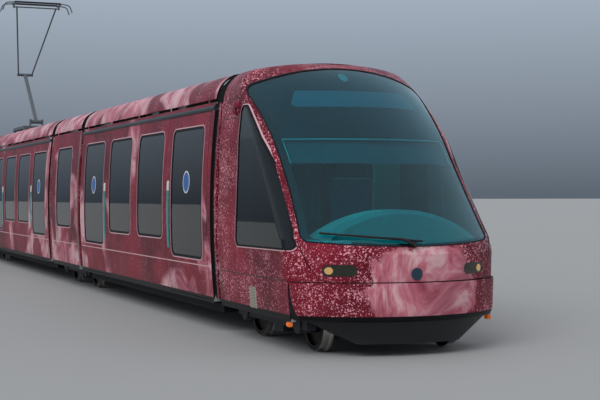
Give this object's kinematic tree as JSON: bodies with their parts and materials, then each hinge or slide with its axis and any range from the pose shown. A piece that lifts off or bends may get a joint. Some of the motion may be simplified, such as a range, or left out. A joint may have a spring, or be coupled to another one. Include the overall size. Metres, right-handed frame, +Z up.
{
  "type": "low-floor articulated tram, seven modules",
  "caption": "Low-floor articulated tram: two cabs, long saloon modules hung between short bogie modules, rubber gangways, independent wheels and a raised single-arm pantograph on the roof.",
  "frame": {"origin": "middle of the vehicle's length, on its centre line, at the lowest point of the wheel flanges", "axes": "+X towards the front cab, +Y to the left, +Z up"},
  "size_m": [33.1, 2.4, 6.352],
  "materials": {
    "body_paint": "wine-red enamel over aluminium, speckled and marbled in pale pink",
    "roof_laminate": "painted glass-reinforced laminate",
    "tinted_glass": "dark tinted safety glass",
    "bellows_rubber": "black corrugated rubber fabric",
    "bogie_steel": "dark grey paint on welded steel",
    "wheel_steel": "worn bright tread on dark steel",
    "interior_laminate": "moulded laminate and grey cloth",
    "pantograph_paint": "grey painted tube",
    "contact_carbon": "carbon strips on a steel carrier"
  },
  "bodies": {
    "long_1": {"long_1_shell": "body_paint", "long_1_doors": "body_paint", "long_1_windows": "tinted_glass", "long_1_interior": "interior_laminate", "long_1_roof": "roof_laminate", "long_1_bellows": "bellows_rubber"},
    "long_2": {"long_2_shell": "body_paint", "long_2_doors": "body_paint", "long_2_windows": "tinted_glass", "long_2_interior": "interior_laminate", "long_2_roof": "roof_laminate", "long_2_bellows": "bellows_rubber"},
    "long_3": {"long_3_shell": "body_paint", "long_3_doors": "body_paint", "long_3_windows": "tinted_glass", "long_3_interior": "interior_laminate", "long_3_roof": "roof_laminate", "long_3_bellows": "bellows_rubber"},
    "short_1": {"short_1_shell": "body_paint", "short_1_windows": "tinted_glass", "short_1_roof": "roof_laminate", "bogie_short_1": "bogie_steel"},
    "short_2": {"short_2_shell": "body_paint", "short_2_windows": "tinted_glass", "short_2_roof": "roof_laminate", "bogie_short_2": "bogie_steel", "pantograph_base": "pantograph_paint"},
    "cab_a": {"cab_a_shell": "body_paint", "cab_a_nose": "body_paint", "cab_a_bumper": "body_paint", "cab_a_glazing": "tinted_glass", "cab_a_desk": "interior_laminate", "bogie_cab_a": "bogie_steel"},
    "cab_b": {"cab_b_shell": "body_paint", "cab_b_nose": "body_paint", "cab_b_bumper": "body_paint", "cab_b_glazing": "tinted_glass", "cab_b_desk": "interior_laminate", "bogie_cab_b": "bogie_steel"},
    "pantograph_lower_arm": {"pantograph_lower_arm": "pantograph_paint"},
    "pantograph_upper_arm": {"pantograph_upper_arm": "pantograph_paint"},
    "pantograph_head": {"pantograph_head": "contact_carbon"},
    "wheel_cab_a_front_left": {"wheel_cab_a_front_left": "wheel_steel"},
    "wheel_cab_a_front_right": {"wheel_cab_a_front_right": "wheel_steel"},
    "wheel_cab_a_rear_left": {"wheel_cab_a_rear_left": "wheel_steel"},
    "wheel_cab_a_rear_right": {"wheel_cab_a_rear_right": "wheel_steel"},
    "wheel_short_1_front_left": {"wheel_short_1_front_left": "wheel_steel"},
    "wheel_short_1_front_right": {"wheel_short_1_front_right": "wheel_steel"},
    "wheel_short_1_rear_left": {"wheel_short_1_rear_left": "wheel_steel"},
    "wheel_short_1_rear_right": {"wheel_short_1_rear_right": "wheel_steel"},
    "wheel_short_2_front_left": {"wheel_short_2_front_left": "wheel_steel"},
    "wheel_short_2_front_right": {"wheel_short_2_front_right": "wheel_steel"},
    "wheel_short_2_rear_left": {"wheel_short_2_rear_left": "wheel_steel"},
    "wheel_short_2_rear_right": {"wheel_short_2_rear_right": "wheel_steel"},
    "wheel_cab_b_front_left": {"wheel_cab_b_front_left": "wheel_steel"},
    "wheel_cab_b_front_right": {"wheel_cab_b_front_right": "wheel_steel"},
    "wheel_cab_b_rear_left": {"wheel_cab_b_rear_left": "wheel_steel"},
    "wheel_cab_b_rear_right": {"wheel_cab_b_rear_right": "wheel_steel"}
  },
  "joints": [
    {"name": "articulation_short_1", "type": "hinge", "parent": "long_2", "child": "short_1", "pos_m": [3.695, 0, 0.272], "axis": [0, 0, 1], "range_deg": [-12, 12], "deforming": ["long_2_bellows"]},
    {"name": "articulation_long_1", "type": "hinge", "parent": "short_1", "child": "long_1", "pos_m": [6.255, 0, 0.272], "axis": [0, 0, 1], "range_deg": [-12, 12], "deforming": ["long_1_bellows"]},
    {"name": "articulation_cab_a", "type": "hinge", "parent": "long_1", "child": "cab_a", "pos_m": [13.645, 0, 0.272], "axis": [0, 0, 1], "range_deg": [-12, 12], "deforming": ["long_1_bellows"]},
    {"name": "articulation_short_2", "type": "hinge", "parent": "long_2", "child": "short_2", "pos_m": [-3.695, 0, 0.272], "axis": [0, 0, -1], "range_deg": [-12, 12], "deforming": ["long_2_bellows"]},
    {"name": "articulation_long_3", "type": "hinge", "parent": "short_2", "child": "long_3", "pos_m": [-6.255, 0, 0.272], "axis": [0, 0, -1], "range_deg": [-12, 12], "deforming": ["long_3_bellows"]},
    {"name": "articulation_cab_b", "type": "hinge", "parent": "long_3", "child": "cab_b", "pos_m": [-13.645, 0, 0.272], "axis": [0, 0, -1], "range_deg": [-12, 12], "deforming": ["long_3_bellows"]},
    {"name": "wheel_cab_a_front_left_spin", "type": "hinge", "parent": "cab_a", "child": "wheel_cab_a_front_left", "pos_m": [15.71, 0.735, 0.297], "axis": [0, 1, 0], "continuous": true},
    {"name": "wheel_cab_a_front_right_spin", "type": "hinge", "parent": "cab_a", "child": "wheel_cab_a_front_right", "pos_m": [15.71, -0.735, 0.297], "axis": [0, 1, 0], "continuous": true},
    {"name": "wheel_cab_a_rear_left_spin", "type": "hinge", "parent": "cab_a", "child": "wheel_cab_a_rear_left", "pos_m": [14.11, 0.735, 0.297], "axis": [0, 1, 0], "continuous": true},
    {"name": "wheel_cab_a_rear_right_spin", "type": "hinge", "parent": "cab_a", "child": "wheel_cab_a_rear_right", "pos_m": [14.11, -0.735, 0.297], "axis": [0, 1, 0], "continuous": true},
    {"name": "wheel_short_1_front_left_spin", "type": "hinge", "parent": "short_1", "child": "wheel_short_1_front_left", "pos_m": [5.775, 0.735, 0.297], "axis": [0, 1, 0], "continuous": true},
    {"name": "wheel_short_1_front_right_spin", "type": "hinge", "parent": "short_1", "child": "wheel_short_1_front_right", "pos_m": [5.775, -0.735, 0.297], "axis": [0, 1, 0], "continuous": true},
    {"name": "wheel_short_1_rear_left_spin", "type": "hinge", "parent": "short_1", "child": "wheel_short_1_rear_left", "pos_m": [4.175, 0.735, 0.297], "axis": [0, 1, 0], "continuous": true},
    {"name": "wheel_short_1_rear_right_spin", "type": "hinge", "parent": "short_1", "child": "wheel_short_1_rear_right", "pos_m": [4.175, -0.735, 0.297], "axis": [0, 1, 0], "continuous": true},
    {"name": "wheel_short_2_front_left_spin", "type": "hinge", "parent": "short_2", "child": "wheel_short_2_front_left", "pos_m": [-4.175, 0.735, 0.297], "axis": [0, 1, 0], "continuous": true},
    {"name": "wheel_short_2_front_right_spin", "type": "hinge", "parent": "short_2", "child": "wheel_short_2_front_right", "pos_m": [-4.175, -0.735, 0.297], "axis": [0, 1, 0], "continuous": true},
    {"name": "wheel_short_2_rear_left_spin", "type": "hinge", "parent": "short_2", "child": "wheel_short_2_rear_left", "pos_m": [-5.775, 0.735, 0.297], "axis": [0, 1, 0], "continuous": true},
    {"name": "wheel_short_2_rear_right_spin", "type": "hinge", "parent": "short_2", "child": "wheel_short_2_rear_right", "pos_m": [-5.775, -0.735, 0.297], "axis": [0, 1, 0], "continuous": true},
    {"name": "wheel_cab_b_front_left_spin", "type": "hinge", "parent": "cab_b", "child": "wheel_cab_b_front_left", "pos_m": [-14.11, 0.735, 0.297], "axis": [0, 1, 0], "continuous": true},
    {"name": "wheel_cab_b_front_right_spin", "type": "hinge", "parent": "cab_b", "child": "wheel_cab_b_front_right", "pos_m": [-14.11, -0.735, 0.297], "axis": [0, 1, 0], "continuous": true},
    {"name": "wheel_cab_b_rear_left_spin", "type": "hinge", "parent": "cab_b", "child": "wheel_cab_b_rear_left", "pos_m": [-15.71, 0.735, 0.297], "axis": [0, 1, 0], "continuous": true},
    {"name": "wheel_cab_b_rear_right_spin", "type": "hinge", "parent": "cab_b", "child": "wheel_cab_b_rear_right", "pos_m": [-15.71, -0.735, 0.297], "axis": [0, 1, 0], "continuous": true},
    {"name": "pantograph_raise", "type": "hinge", "parent": "short_2", "child": "pantograph_lower_arm", "pos_m": [-4.2, 0, 3.422], "axis": [0, 1, 0], "range_deg": [-34, 5]},
    {"name": "pantograph_knee", "type": "hinge", "parent": "pantograph_lower_arm", "child": "pantograph_upper_arm", "pos_m": [-5.78, 0, 4.712], "axis": [0, 1, 0], "range_deg": [-10, 68]},
    {"name": "pantograph_head_level", "type": "hinge", "parent": "pantograph_upper_arm", "child": "pantograph_head", "pos_m": [-4.17, 0, 6.232], "axis": [0, 1, 0], "range_deg": [-34, 5]}
  ],
  "couplings": [
    {"joint": "pantograph_knee", "follows": "pantograph_raise", "ratio": -2},
    {"joint": "pantograph_head_level", "follows": "pantograph_raise", "ratio": 1}
  ]
}
